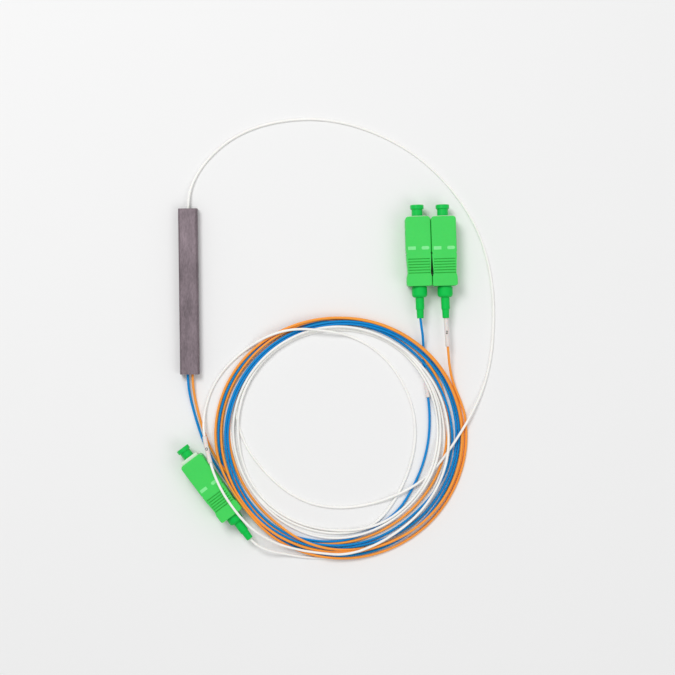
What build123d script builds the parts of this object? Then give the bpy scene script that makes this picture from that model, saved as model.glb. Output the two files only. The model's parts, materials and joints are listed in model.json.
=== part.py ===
from build123d import *
import math
import os

# A one-by-two optical fibre splitter: a flat steel tube with the splitter chip inside,
# one white input lead and two coloured output leads, wound into one loose coil,
# each ending in a push-pull plug with an angled ferrule and a dust cap.
# Millimetres. The origin is the middle of the steel tube's underside, with the
# tube along Y. A plug's own frame has its axis along Y and its front face at Y = 0.

# Steel tube
tube_length = 60.0
tube_width = 7.0
tube_height = 4.0
tube_wall = 0.4
tube_edge = 0.9
tube_inner_edge = 0.5

# Seals that close the tube's two ends
seal_length = 4.5
seal_recess = 0.4
seal_gap = 0.03
lead_depth = 2.2

# Splitter chip, its cover, and the blocks that hold the glass fibres against it
bed_length = 21.0
bed_width = 5.0
bed_height = 0.4
chip_length = 5.0
array_width = 2.2
lid_height = 0.8
block_length = 5.0
block_height = 0.9
block_lid_length = 3.6
groove_half_angle = 35.0

# Fibres
lead_diameter = 0.9
lead_gap = 0.02
glass_diameter = 0.24
glass_gap = 0.01
output_lead_pitch = 1.7
output_glass_pitch = 0.27
glass_fan_length = 5.0

# Plug: the outer grip housing, with its key underneath
housing_skirt = 4.5
housing_width = 9.0
housing_thickness = 7.4
housing_edge = 0.5
housing_front_corner = 1.3
housing_front_round = 0.3
housing_rear_corner = 0.8
housing_cavity_width = 7.2
housing_cavity_height = 5.8
waist_depth = 0.45
waist_start = 13.2
waist_rear_margin = 3.2
waist_rear_slope = 1.4
side_notch_radius = 0.28
grip_groove_count = 6
grip_groove_pitch = 1.0
grip_rear_margin = 4.65
grip_groove_width = 0.4
grip_groove_depth = 0.5
grip_groove_margin = 0.2
key_width = 2.0
key_height = 0.9
key_start = 1.2
key_length = 11.0

# Plug: the inner frame, which the housing slides on
frame_gap = 0.15
frame_reach = 0.2
frame_nose = 0.6
frame_rear = 20.5
frame_edge = 0.4
front_bore = 4.6
web_thickness = 1.0
web_hole = 2.9
spring_bore = 4.6
lug_front = 6.8
lug_length = 2.5
lug_height = 2.2
lug_reach = 0.7
window_gap = 0.2
window_rear_room = 2.3
housing_travel = 1.8

# Plug: the ferrule, its flange and its spring
ferrule_diameter = 2.5
ferrule_length = 10.5
ferrule_projection = 0.8
ferrule_seat_depth = 1.1
ferrule_chamfer = 0.3
ferrule_angle = 8.0
ferrule_gap = 0.01
flange_diameter = 4.3
flange_thickness = 2.0
flange_slot = 0.7
flange_slot_depth = 0.5
flange_tail_diameter = 2.6
flange_tail_length = 4.0
flange_bore = 1.1
spring_length = 6.0
spring_outside = 4.1
spring_wire = 0.4
spring_turns = 7
spring_end_gap = 0.02

# Plug: the post that closes the frame, and the boot pushed over it
post_gap = 0.03
post_shoulder_diameter = 5.2
post_shoulder_length = 1.0
post_barrel_diameter = 3.3
post_barrel_length = 5.8
post_bore = 1.4
post_ring_count = 4
post_ring_pitch = 1.1
post_ring_width = 0.4
post_ring_depth = 0.15
boot_gap = 0.04
boot_collar_diameter = 5.0
boot_collar_reach = 0.4
boot_bulge_diameter = 5.5
boot_bulge_length = 3.7
boot_bulge_fillet = 1.1
boot_neck_diameter = 3.1
boot_neck_length = 4.1
boot_step_length = 0.5
boot_nose_diameter = 2.6
boot_tip_diameter = 2.4
boot_tip_fillet = 0.2
boot_bore = 1.1
boot_nose_length = 3.4

# Plug: the dust cap over the ferrule
cap_head_diameter = 4.9
cap_head_length = 1.6
cap_reach = 4.3
cap_neck_diameter = 4.0
cap_depth = 5.8
cap_gap = 0.05
cap_tip_room = 0.5
cap_edge = 0.3
cap_dimple_diameter = 3.0
cap_dimple_depth = 0.5

# The fibre's buffered end inside the plug stops short of the ferrule
fibre_end_front = 12.6

# Where each plug lies: the middle of its front face, and the way its axis points
plug_places = {
    1: (82.9, 25.8, 91.1),
    2: (92.1, 25.8, 91.1),
    3: (-0.44, -59.94, 126.1),
}

# How far each housing is slid back on its frame from its foremost place
housing_slid_back = {1: 0.0, 2: 0.0, 3: 1.0}

# Number sleeves, threaded on the fibres
sleeve_outside = 1.6
sleeve_bore = 1.3
sleeve_length = 10.3
number_sleeve_places = {
    1: ((86.4, -39.9, 0.8), (84.7, -29.7, 0.8)),
    2: ((92.95, -10.95, 4.6), (93.4, -21.2, 4.1)),
    3: ((7.4, -61.7, 8.8), (4.9, -52.3, 3.9)),
}

# The coil of spare fibre: its outer and inner outlines are ellipses
coil_outer_middle = (54.5, -53.9)
coil_outer_half = (46.0, 43.9)
coil_inner_middle = (53.0, -51.9)
coil_width = (10.3, 8.6)
coil_height = 2.4
coil_edge = 0.8
coil_plug_gap = 0.7

# Routes of the fibres where they aren't coiled, chosen point by point from the photograph
lead_half_pitch = output_lead_pitch / 2
lead_start = tube_length / 2 - seal_recess - lead_depth
lead_height = tube_height / 2
blue_lead_route = [
    (-lead_half_pitch, -lead_start, lead_height), (-lead_half_pitch, -32.7, 1.9),
    (-0.2, -38.1, 0.8), (1.1, -43.6, 0.45), (2.7, -49.4, 0.45), (4.7, -55.3, 0.45),
    (7.5, -61.0, 0.45), (11.1, -66.5, 0.45), (14.9, -71.7, 0.45), (19.6, -76.2, 0.6),
]
orange_lead_route = [
    (lead_half_pitch, -lead_start, lead_height), (lead_half_pitch, -32.7, 1.9),
    (1.4, -38.1, 0.8), (2.6, -43.8, 0.45), (4.2, -49.8, 0.45), (6.2, -55.3, 0.45),
    (8.9, -60.6, 0.45), (12.5, -65.5, 0.45), (16.6, -69.9, 0.45), (21.5, -73.6, 0.7),
]
blue_tail_route = [
    (69.6, -84.7, 0.9), (75.3, -80.2, 0.6), (79.8, -73.3, 0.45), (83.6, -65.3, 0.45),
    (86.0, -56.9, 0.45), (86.8, -48.6, 0.6), (86.4, -40.0, 0.8), (84.7, -29.6, 0.8),
    (84.8, -25.0, 0.7), (84.7, -20.6, 1.6), (84.4, -16.6, 3.5), (83.9, -13.6, 4.6),
]
orange_tail_route = [
    (99.9, -47.3, 0.8), (98.0, -41.0, 0.9), (95.5, -35.0, 1.2), (94.1, -29.0, 2.2),
    (93.5, -22.6, 4.0), (93.0, -15.4, 4.55),
]
white_lead_route = [
    (0.0, lead_start, lead_height), (0.0, 32.7, 1.9), (1.1, 38.2, 0.9), (4.0, 43.9, 0.45),
    (8.8, 49.7, 0.45), (15.8, 55.4, 0.45), (24.9, 59.6, 0.45), (35.7, 61.9, 0.45),
    (47.5, 62.3, 0.45), (59.1, 60.2, 0.45), (70.3, 56.0, 0.45), (81.2, 49.9, 0.45),
    (90.7, 41.8, 0.45), (98.7, 32.2, 0.45), (105.0, 21.3, 0.45), (108.7, 9.8, 0.45),
    (110.4, -1.9, 0.45), (110.4, -13.5, 0.45), (109.4, -24.8, 0.45), (106.8, -35.6, 1.2),
    (101.8, -46.0, 3.5), (96.1, -55.0, 3.6), (90.1, -63.4, 3.6), (83.4, -70.0, 3.3),
    (74.9, -74.7, 1.9), (65.0, -78.1, 0.8), (54.1, -79.5, 0.45), (43.2, -77.9, 0.45),
    (34.0, -73.0, 0.45), (26.5, -65.9, 0.45), (20.6, -58.0, 0.6), (17.4, -50.3, 0.9),
    (16.0, -43.0, 1.2),
]
white_loop_route = [
    (44.6, -95.2, 1.5), (38.0, -93.9, 1.5), (31.6, -92.0, 2.9), (26.0, -88.9, 6.6),
    (21.1, -84.9, 11.3), (15.6, -78.4, 11.9), (11.0, -71.0, 11.7), (7.6, -62.6, 9.3),
    (4.7, -51.4, 3.4), (4.8, -43.9, 1.0), (7.1, -36.4, 0.45),
    (10.7, -30.2, 0.45), (15.7, -24.7, 0.45), (21.6, -20.2, 0.6), (27.6, -16.8, 0.9),
    (34.1, -14.6, 1.3), (40.9, -13.9, 1.7),
]
white_inner_route = [
    (50.6, -15.0, 1.9), (58.9, -16.9, 1.7), (67.5, -21.9, 1.0), (74.2, -29.0, 0.45),
    (79.0, -37.8, 0.45), (81.4, -46.9, 0.45), (81.4, -56.7, 0.45), (78.8, -66.5, 0.45),
    (74.3, -75.9, 0.45), (68.6, -83.5, 0.6), (62.3, -87.5, 0.9),
]
white_tail_route = [
    (53.0, -97.1, 1.3), (46.6, -97.4, 0.9), (40.2, -97.0, 0.8), (34.0, -95.7, 1.5),
    (28.2, -94.4, 3.4), (23.2, -91.9, 4.6),
]
corner_share = 0.45

# Heights and places worked out from the sizes above
plug_axis_height = key_height + housing_thickness / 2
housing_length = frame_rear + housing_skirt
grip_groove_last = housing_length - grip_rear_margin
frame_width = housing_cavity_width - 2 * frame_gap
frame_height = housing_cavity_height - 2 * frame_gap
ferrule_rear = ferrule_length - ferrule_projection
web_rear = ferrule_rear - ferrule_seat_depth
front_bore_end = web_rear - web_thickness
flange_rear = web_rear + flange_thickness
spring_rear = flange_rear + spring_length
shoulder_rear = frame_rear + post_shoulder_length
barrel_rear = shoulder_rear + post_barrel_length
boot_collar_end = housing_length + boot_collar_reach
boot_bulge_end = boot_collar_end + boot_bulge_length
boot_neck_end = boot_bulge_end + boot_neck_length
boot_length = boot_neck_end + boot_nose_length
bed_top = tube_wall + bed_height
glass_height = bed_top + block_height - glass_diameter / 2
chip_height = glass_height - bed_top
array_end = chip_length / 2 + block_length


def slab(width, height, front, rear, edge):
    """A rounded bar along Y that runs from y = -front back to y = -rear."""
    section = RectangleRounded(width, height, edge)
    return extrude(Plane.XZ.offset(front) * section, rear - front)


def rod(diameter, front, rear):
    """A round bar along Y that runs from y = -front back to y = -rear."""
    return extrude(Plane.XZ.offset(front) * Circle(diameter / 2), rear - front)


def block(width, length, height, y, z):
    """A plain block centred on X, with its middle at y and its underside at z."""
    return Pos(0, y, z) * Box(width, length, height, align=(Align.CENTER, Align.CENTER, Align.MIN))


def steel_tube():
    outside = slab(tube_width, tube_height, -tube_length / 2, tube_length / 2, tube_edge)
    inside = slab(
        tube_width - 2 * tube_wall, tube_height - 2 * tube_wall,
        -tube_length / 2, tube_length / 2, tube_inner_edge,
    )
    return Pos(0, 0, tube_height / 2) * (outside - inside)


def end_seal(side, lead_places, glass_places):
    """The seal at one end: side is 1 at the input end and -1 at the output end."""
    outer = side * (tube_length / 2 - seal_recess)
    inner = outer - side * seal_length
    lead_end = side * lead_start
    body = Pos(0, 0, tube_height / 2) * slab(
        tube_width - 2 * (tube_wall + seal_gap), tube_height - 2 * (tube_wall + seal_gap),
        -max(outer, inner), -min(outer, inner), tube_inner_edge,
    )
    for x in lead_places:
        hole = rod(lead_diameter + 2 * lead_gap, -max(outer, lead_end), -min(outer, lead_end))
        body -= Pos(x, 0, lead_height) * hole
    for x in glass_places:
        hole = rod(glass_diameter + 2 * lead_gap, -max(inner, lead_end), -min(inner, lead_end))
        body -= Pos(x, 0, lead_height) * hole
    return body


def groove_cutter(x, y, length):
    """A V groove whose sides touch a glass fibre that lies just under the lid."""
    reach = glass_diameter / 2 + glass_gap
    top_half = reach * (1 + 1 / math.sin(math.radians(groove_half_angle)))
    half_width = top_half * math.tan(math.radians(groove_half_angle))
    vee = make_face(Polyline((x - half_width, 0), (x, -top_half), (x + half_width, 0), close=True))
    return Pos(0, y, glass_height + glass_diameter / 2 + glass_gap) * extrude(
        Plane.XZ * vee, length / 2, both=True
    )


def fibre_block(side, glass_places):
    y = side * (chip_length + block_length) / 2
    body = block(array_width, block_length, block_height, y, bed_top)
    for x in glass_places:
        body -= groove_cutter(x, y, block_length)
    return body


def fibre_block_lid(side):
    y = side * (chip_length + block_lid_length) / 2
    return block(array_width, block_lid_length, lid_height, y, bed_top + block_height + glass_gap)


def glass_fibre(side, array_x, lead_x):
    """A bare glass fibre from the block's inner end to the buffered lead's end."""
    fan_start = array_end + (lead_start - array_end - glass_fan_length) / 2
    points = [
        (array_x, side * chip_length / 2, glass_height),
        (array_x, side * fan_start, glass_height),
        (lead_x, side * (fan_start + glass_fan_length), lead_height),
        (lead_x, side * lead_start, lead_height),
    ]
    return tube_along(points, glass_diameter)


def corner_radii(points):
    """For each corner of a route, the largest arc that its two runs allow."""
    vectors = [Vector(*b) - Vector(*a) for a, b in zip(points, points[1:])]
    radii = []
    for before, after in zip(vectors, vectors[1:]):
        half_turn = math.radians(before.get_angle(after)) / 2
        radii.append(corner_share * min(before.length, after.length) / math.tan(half_turn))
    return radii


def tube_along(points, diameter):
    """A plain tube along straight runs joined by tangent arcs."""
    path = FilletPolyline(*points, radius=corner_radii(points))
    start = Plane(origin=path @ 0, z_dir=path % 0)
    return sweep(start * Circle(diameter / 2), path=path)


def place(number):
    """The location that puts a plug's own frame where that plug lies."""
    x, y, heading = plug_places[number]
    return Location((x, y, plug_axis_height), (0, 0, heading - 90))


def boot_tip(number):
    tip = place(number) * Pos(0, -boot_length, 0)
    return tuple(tip.position)


def housing():
    half = housing_width / 2
    waist = half - waist_depth
    waist_end = housing_length - waist_rear_margin
    right = [
        (half, 0), (half, -waist_start), (waist, -(waist_end - waist_rear_slope)),
        (half, -waist_end), (half, -housing_length),
    ]
    left = [(-x, y) for x, y in reversed(right)]
    outline = make_face(Polyline(*right, *left, close=True))
    outline = fillet(outline.vertices().group_by(Axis.Y)[-1], housing_front_corner)
    outline = fillet(outline.vertices().group_by(Axis.Y)[0], housing_rear_corner)
    body = extrude(outline, housing_thickness / 2, both=True)
    body &= slab(housing_width, housing_thickness, 0, housing_length, housing_edge)
    profile = Plane.YZ * Pos(-housing_length / 2, 0) * Rectangle(housing_length, housing_thickness)
    profile = fillet(profile.vertices().group_by(Axis.Y)[-1], housing_front_round)
    body &= extrude(profile, half, both=True)
    body -= slab(housing_cavity_width, housing_cavity_height, 0, housing_length, frame_edge)
    window_front = lug_front - housing_travel - window_gap
    window_rear = lug_front + lug_length + window_rear_room
    body -= Pos(0, -(window_front + window_rear) / 2, 0) * Box(
        housing_width, window_rear - window_front, lug_height + 2 * window_gap
    )
    for side in (-1, 1):
        body -= Pos(side * half, -waist_start, 0) * Cylinder(side_notch_radius, housing_thickness)
        for index in range(grip_groove_count):
            y = -(grip_groove_last - index * grip_groove_pitch)
            body -= Pos(0, y, side * housing_thickness / 2) * Box(
                2 * (waist - grip_groove_margin), grip_groove_width, 2 * grip_groove_depth
            )
    key = Pos(0, -(key_start + key_length / 2), -(housing_thickness + key_height) / 2) * Box(
        key_width, key_length, key_height
    )
    return body + key


def plug_frame():
    half = frame_width / 2
    body = slab(frame_width, frame_height, -frame_reach, frame_rear, frame_edge)
    body &= extrude(make_face(Polyline(
        (half - frame_nose, frame_reach), (half, frame_reach - frame_nose), (half, -frame_rear),
        (-half, -frame_rear), (-half, frame_reach - frame_nose), (-half + frame_nose, frame_reach),
        close=True,
    )), frame_height / 2, both=True)
    body += Pos(0, -(lug_front + lug_length / 2), 0) * Box(
        frame_width + 2 * lug_reach, lug_length, lug_height
    )
    body -= rod(front_bore, -frame_reach, front_bore_end)
    body -= rod(web_hole, front_bore_end, web_rear)
    body -= rod(spring_bore, web_rear, frame_rear)
    return body


def ferrule():
    body = rod(ferrule_diameter, -ferrule_projection, ferrule_rear)
    body = chamfer(body.edges().group_by(Axis.Y)[-1], ferrule_chamfer)
    beyond = Pos(0, ferrule_diameter, 0) * Box(
        2 * ferrule_diameter, 2 * ferrule_diameter, 2 * ferrule_diameter
    )
    return body - Pos(0, ferrule_projection, 0) * Rot(ferrule_angle, 0, 0) * beyond


def ferrule_flange():
    body = rod(flange_diameter, web_rear, flange_rear)
    body += rod(flange_tail_diameter, flange_rear, flange_rear + flange_tail_length)
    body -= rod(ferrule_diameter + 2 * ferrule_gap, web_rear, ferrule_rear)
    body -= rod(flange_bore, ferrule_rear, flange_rear + flange_tail_length)
    for side in (-1, 1):
        body -= Pos(side * flange_diameter / 2, -(web_rear + flange_rear) / 2, 0) * Box(
            2 * flange_slot_depth, flange_thickness, flange_slot
        )
    return body


def spring():
    radius = (spring_outside - spring_wire) / 2
    height = spring_length - spring_wire - 2 * spring_end_gap
    coils = Helix(pitch=height / spring_turns, height=height, radius=radius)
    start = Plane(origin=coils @ 0, z_dir=coils % 0)
    body = sweep(start * Circle(spring_wire / 2), path=coils, is_frenet=True)
    first = flange_rear + spring_end_gap + spring_wire / 2
    return Pos(0, -first, 0) * Rot(90, 0, 0) * body


def back_post():
    body = rod(spring_bore - 2 * post_gap, spring_rear, frame_rear)
    body += rod(post_shoulder_diameter, frame_rear, shoulder_rear)
    body += rod(post_barrel_diameter, shoulder_rear, barrel_rear)
    body -= rod(post_bore, spring_rear, barrel_rear)
    for index in range(post_ring_count):
        front = shoulder_rear + (index + 1) * post_ring_pitch
        ring = rod(post_shoulder_diameter, front, front + post_ring_width)
        ring -= rod(post_barrel_diameter - 2 * post_ring_depth, front, front + post_ring_width)
        body -= ring
    return body


def boot():
    profile = Polyline(
        (boot_collar_diameter / 2, -shoulder_rear),
        (boot_collar_diameter / 2, -boot_collar_end),
        (boot_bulge_diameter / 2, -boot_collar_end),
        (boot_bulge_diameter / 2, -boot_bulge_end),
        (boot_neck_diameter / 2, -boot_bulge_end),
        (boot_neck_diameter / 2, -boot_neck_end),
        (boot_nose_diameter / 2, -(boot_neck_end + boot_step_length)),
        (boot_tip_diameter / 2, -boot_length),
        (boot_bore / 2, -boot_length),
        (boot_bore / 2, -barrel_rear - boot_gap),
        (post_barrel_diameter / 2 + boot_gap, -barrel_rear - boot_gap),
        (post_barrel_diameter / 2 + boot_gap, -shoulder_rear),
        close=True,
    )
    body = revolve(make_face(profile), Axis.Y)
    rings = body.edges().filter_by(GeomType.CIRCLE)
    bulge = rings.group_by(SortBy.RADIUS)[-1]
    body = fillet(bulge.sort_by(Axis.Y)[0], boot_bulge_fillet)
    tip = body.edges().filter_by(GeomType.CIRCLE).group_by(Axis.Y)[0]
    return fillet(tip.sort_by(SortBy.RADIUS)[-1], boot_tip_fillet)


def dust_cap():
    body = rod(cap_neck_diameter, -cap_reach, cap_depth)
    head = rod(cap_head_diameter, -cap_reach, cap_head_length - cap_reach)
    head = fillet(head.edges().filter_by(GeomType.CIRCLE), cap_edge)
    body += head
    body -= rod(ferrule_diameter + 2 * cap_gap, -ferrule_projection - cap_tip_room, cap_depth)
    return body - rod(cap_dimple_diameter, -cap_reach, cap_dimple_depth - cap_reach)


def fibre_end():
    return rod(lead_diameter, fibre_end_front, boot_length)


def number_sleeve(number):
    """A soft tube threaded on a fibre, midway between two points on its axis."""
    start, end = (Vector(*point) for point in number_sleeve_places[number])
    plane = Plane(origin=(start + end) / 2, z_dir=end - start)
    ring = plane * (Circle(sleeve_outside / 2) - Circle(sleeve_bore / 2))
    return extrude(ring, sleeve_length / 2, both=True)


def fibre_coil():
    """The outer shape of the wound turns, pressed in where plug 3 lies against them."""
    inner_half = [half - width for half, width in zip(coil_outer_half, coil_width)]
    outer = Pos(*coil_outer_middle) * Ellipse(*coil_outer_half)
    inner = Pos(*coil_inner_middle) * Ellipse(*inner_half)
    body = extrude(outer - inner, coil_height)
    body = fillet(body.edges().group_by(Axis.Z)[-1], coil_edge)
    room = Box(
        housing_width + 2 * coil_plug_gap,
        housing_length + housing_travel + coil_plug_gap,
        2 * plug_axis_height,
        align=(Align.CENTER, Align.MAX, Align.CENTER),
    )
    return body - place(3) * room


def splitter_pieces():
    glass_out = (-output_glass_pitch / 2, output_glass_pitch / 2)
    lead_out = (-lead_half_pitch, lead_half_pitch)
    pieces = {
        "steel_tube": steel_tube(),
        "input_seal": end_seal(1, [0], [0]),
        "output_seal": end_seal(-1, lead_out, lead_out),
        "chip_bed": block(bed_width, bed_length, bed_height, 0, tube_wall),
        "splitter_chip": block(array_width, chip_length, chip_height, 0, bed_top),
        "chip_lid": block(array_width, chip_length, lid_height, 0, bed_top + chip_height),
        "input_block": fibre_block(1, [0]),
        "input_block_lid": fibre_block_lid(1),
        "output_block": fibre_block(-1, glass_out),
        "output_block_lid": fibre_block_lid(-1),
        "input_glass_fibre": glass_fibre(1, 0, 0),
        "output_glass_fibres": Compound(
            [glass_fibre(-1, a, b).solid() for a, b in zip(glass_out, lead_out)]
        ),
    }
    return pieces


def plug_pieces():
    grip = housing()
    parts = {
        "plug_frame": plug_frame(),
        "ferrule": ferrule(),
        "ferrule_flange": ferrule_flange(),
        "ferrule_spring": spring(),
        "back_post": back_post(),
        "boot": boot(),
        "dust_cap": dust_cap(),
        "fibre_end": fibre_end(),
    }
    pieces = {}
    for number in plug_places:
        pieces[f"housing_{number}"] = place(number) * Pos(0, -housing_slid_back[number], 0) * grip
        for name, shape in parts.items():
            pieces[f"{name}_{number}"] = place(number) * shape
    return pieces


def lead_pieces():
    routes = {
        "blue_lead": blue_lead_route,
        "orange_lead": orange_lead_route,
        "white_lead": white_lead_route,
        "white_loop": white_loop_route,
        "white_inner": white_inner_route,
        "blue_tail": blue_tail_route + [boot_tip(1)],
        "orange_tail": orange_tail_route + [boot_tip(2)],
        "white_tail": white_tail_route + [boot_tip(3)],
    }
    pieces = {name: tube_along(route, lead_diameter) for name, route in routes.items()}
    for name, route in routes.items():
        print(name, "arc radii", [round(radius, 1) for radius in corner_radii(route)])
    for number in number_sleeve_places:
        pieces[f"number_sleeve_{number}"] = number_sleeve(number)
    pieces["fibre_coil"] = fibre_coil()
    return pieces


os.makedirs("parts", exist_ok=True)
for node, shape in {**splitter_pieces(), **plug_pieces(), **lead_pieces()}.items():
    export_step(shape, f"parts/{node}.step")
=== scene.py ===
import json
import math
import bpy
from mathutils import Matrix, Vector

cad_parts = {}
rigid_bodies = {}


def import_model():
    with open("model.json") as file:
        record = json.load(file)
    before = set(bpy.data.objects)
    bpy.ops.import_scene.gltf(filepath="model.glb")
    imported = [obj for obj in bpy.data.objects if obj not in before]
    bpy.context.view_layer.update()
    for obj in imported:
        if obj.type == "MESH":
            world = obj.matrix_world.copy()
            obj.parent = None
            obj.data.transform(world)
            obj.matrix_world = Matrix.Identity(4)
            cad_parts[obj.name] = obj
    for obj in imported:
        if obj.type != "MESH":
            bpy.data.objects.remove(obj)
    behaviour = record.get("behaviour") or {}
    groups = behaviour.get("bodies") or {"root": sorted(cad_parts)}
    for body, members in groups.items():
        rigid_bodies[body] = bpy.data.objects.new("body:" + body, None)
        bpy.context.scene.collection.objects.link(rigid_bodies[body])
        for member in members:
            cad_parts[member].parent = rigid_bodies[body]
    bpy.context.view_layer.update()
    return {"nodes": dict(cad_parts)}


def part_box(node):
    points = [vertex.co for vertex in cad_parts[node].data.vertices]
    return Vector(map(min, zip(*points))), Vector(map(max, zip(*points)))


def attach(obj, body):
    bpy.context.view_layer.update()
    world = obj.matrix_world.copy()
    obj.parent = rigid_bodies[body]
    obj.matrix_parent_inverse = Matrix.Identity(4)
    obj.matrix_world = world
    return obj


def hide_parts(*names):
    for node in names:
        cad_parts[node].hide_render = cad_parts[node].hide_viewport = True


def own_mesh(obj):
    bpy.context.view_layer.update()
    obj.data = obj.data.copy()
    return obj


bl_info = {
    "name": "Fibre splitter with coiled leads",
    "version": (1, 0, 0),
    "blender": (4, 5, 0),
    "location": "3D View > Sidebar > Splitter",
    "description": "Dresses a small fibre splitter: steel tube, coiled leads and push-pull plugs",
    "category": "Add Mesh",
}

import bmesh
import bpy
import numpy as np
from mathutils import Matrix, Vector
from mathutils.kdtree import KDTree

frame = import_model()

# Every length below is in millimetres unless its comment says otherwise
MM = 0.001

# Where each plug lies: the middle of its front face, and its heading in degrees
PLUG_PLACES = {1: (82.9, 25.8, 91.1), 2: (92.1, 25.8, 91.1), 3: (-0.44, -59.94, 126.1)}
PLUG_AXIS_HEIGHT = 4.6
PLUG_TOP = 8.3
HOUSING_WIDTH = 9.0
HOUSING_LENGTH = 25.0
HOUSING_SLID_BACK = {1: 0.0, 2: 0.0, 3: 1.0}
BOOT_LENGTH = 36.6

# Each lead: the frame's nodes that its line replaces, apart from the coil, and its plug's number
LEADS = {
    "blue": (("blue_lead", "blue_tail"), 1),
    "orange": (("orange_lead", "orange_tail"), 2),
    "white": (("white_lead", "white_loop", "white_inner", "white_tail"), 3),
}

# The height of a lead's middle where it lies on the floor, the steps of its line and section, and
# how far each way its direction is taken
LEAD_LOWEST = 0.45
LEAD_STEPS = 10
LEAD_SECTION_STEPS = 3
LINE_STEP = 0.2

# How the leads settle on one another. What lies higher has the higher order: its layer, plus the
# way along its lead, or back along it for the blue one, over SAME_LAYER: too little to count as a
# layer. Stretches of one lead that are less than OWN_REACH apart along it aren't parted, and the
# points at its ends stay put.
SAME_LAYER = 1e5
OWN_REACH = 4
SAMPLES_PER_POINT = 24
LARGEST_LIFT = 0.5
POINTS_HELD_AT_START = 3
POINTS_HELD_AT_END = 2
PLUG_UNDER_LOOP = 3

# The painted bars on a housing, from its middle and its front face
BAR_SIDES = (1.05, 3.8)
BAR_ENDS = (-12.0, -10.8)
BAR_SUNK = 0.01
BAR_PROUD = 0.015
BAR_CORNER = 0.25
BAR_CORNER_STEPS = 4

# The spring behind a ferrule, from the plug's front face
SPRING_FRONT = 10.82
SPRING_REAR = 16.38
SPRING_RADIUS = 1.85
SPRING_WIRE_RADIUS = 0.2
SPRING_STEPS_PER_TURN = 24
SPRING_WIRE_SIDES = 10

# The sleeves' walls and edges
SLEEVE_WALL = 0.18
SLEEVE_EDGE = 0.06
SLEEVE_SIDES = 28
SLEEVE_ROWS = 19

# The printed line of a sleeve's number, and each number's strokes: towards the plug, to the right
STROKE_RADIUS = 0.11
STROKE_STEPS = 6
STROKES = {
    1: [[(-0.5, 0.0), (0.5, 0.0)], [(0.28, -0.3), (0.5, 0.0)]],
    2: [[(0.3, -0.3), (0.45, -0.1), (0.45, 0.15), (0.25, 0.3), (-0.5, -0.32), (-0.5, 0.32)]],
    3: [[(-0.5, 0.0), (-0.35, 0.28), (0.35, 0.28), (0.5, 0.0), (0.35, -0.28), (-0.35, -0.28),
         (-0.5, 0.0)]],
}

# What varies in every finish: how much broader the broad grain is than the fine one, where
# between dark and light the colour runs, how far the roughness strays, and in metres how deep the
# relief is and how far light goes in
BROAD_GRAIN = 9
COLOUR_RUN = (0.3, 0.7)
ROUGHNESS_STRAY = 0.08
LEAST_ROUGHNESS = 0.02
RELIEF_DEPTH = 0.00005
LIGHT_DEPTH = 0.0004

# The stage, in metres: what the camera looks down at, half of the floor's side, and each lamp's
# place from there, its width and its share of the lamp power
STAGE_MIDDLE = (0.0536, -0.01733, 0)
FLOOR_HALF = 2
LAMPS = (
    ("main_lamp", (-0.30, 0.45, 0.85), 0.40, 1.0),
    ("fill_lamp", (0.55, -0.35, 0.80), 0.60, 0.35),
)

# The middle of the wound turns, and how many points a turn has
COIL_MIDDLE = (54.04, -53.64)
POINTS_PER_TURN = 24

# Loose stretches of the leads, point by point
BLUE_START = [
    (-0.85, -27.4, 2.0), (-0.85, -32.7, 1.9), (-0.2, -38.1, 0.8), (1.1, -43.6, 0.45),
    (2.7, -49.4, 0.45), (4.7, -55.3, 0.45), (7.5, -61.0, 0.45), (11.1, -66.5, 0.45),
    (14.9, -71.7, 0.45), (19.6, -76.2, 0.45),
]
BLUE_END = [
    (69.6, -84.7, 0.45), (75.3, -80.2, 0.45), (79.8, -73.3, 0.45), (83.6, -65.3, 0.45),
    (86.0, -56.9, 0.45), (86.8, -48.6, 0.6), (86.4, -40.0, 0.8), (84.7, -29.6, 0.8),
    (84.8, -25.0, 0.7), (84.7, -20.6, 1.6), (84.4, -16.6, 3.5), (83.9, -13.6, 4.6),
]
ORANGE_START = [
    (0.85, -27.4, 2.0), (0.85, -32.7, 1.9), (1.4, -38.1, 0.8), (2.6, -43.8, 0.45),
    (4.2, -49.8, 0.45), (6.2, -55.3, 0.45), (8.9, -60.6, 0.45), (12.5, -65.5, 0.45),
    (16.6, -69.9, 0.45),
]
ORANGE_END = [
    (99.9, -47.3, 0.8), (98.0, -41.0, 0.9), (95.5, -35.0, 1.2), (94.1, -29.0, 2.2),
    (93.5, -22.6, 4.0), (93.0, -15.4, 4.55),
]
WHITE_START = [
    (0.0, 27.4, 2.0), (0.0, 32.7, 1.9), (1.1, 38.2, 0.9), (4.0, 43.9, 0.45),
    (8.8, 49.7, 0.45), (15.8, 55.4, 0.45), (24.9, 59.6, 0.45), (35.7, 61.9, 0.45),
    (47.5, 62.3, 0.45), (59.1, 60.2, 0.45), (70.3, 56.0, 0.45), (81.2, 49.9, 0.45),
    (90.7, 41.8, 0.45), (98.7, 32.2, 0.45), (105.0, 21.3, 0.45), (108.7, 9.8, 0.45),
    (110.4, -1.9, 0.45), (110.4, -13.5, 0.45), (109.4, -24.8, 0.45), (106.8, -35.6, 0.45),
    (101.8, -46.0, 0.45), (96.1, -55.0, 0.45), (90.1, -63.4, 0.45), (83.4, -70.0, 0.45),
    (74.9, -74.7, 0.45), (65.0, -78.1, 0.45), (54.1, -79.5, 0.45), (43.2, -77.9, 0.45),
    (34.0, -73.0, 0.45), (26.5, -65.9, 0.45), (20.6, -58.0, 0.45), (17.4, -50.3, 0.45),
    (16.0, -43.0, 0.45),
]
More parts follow.
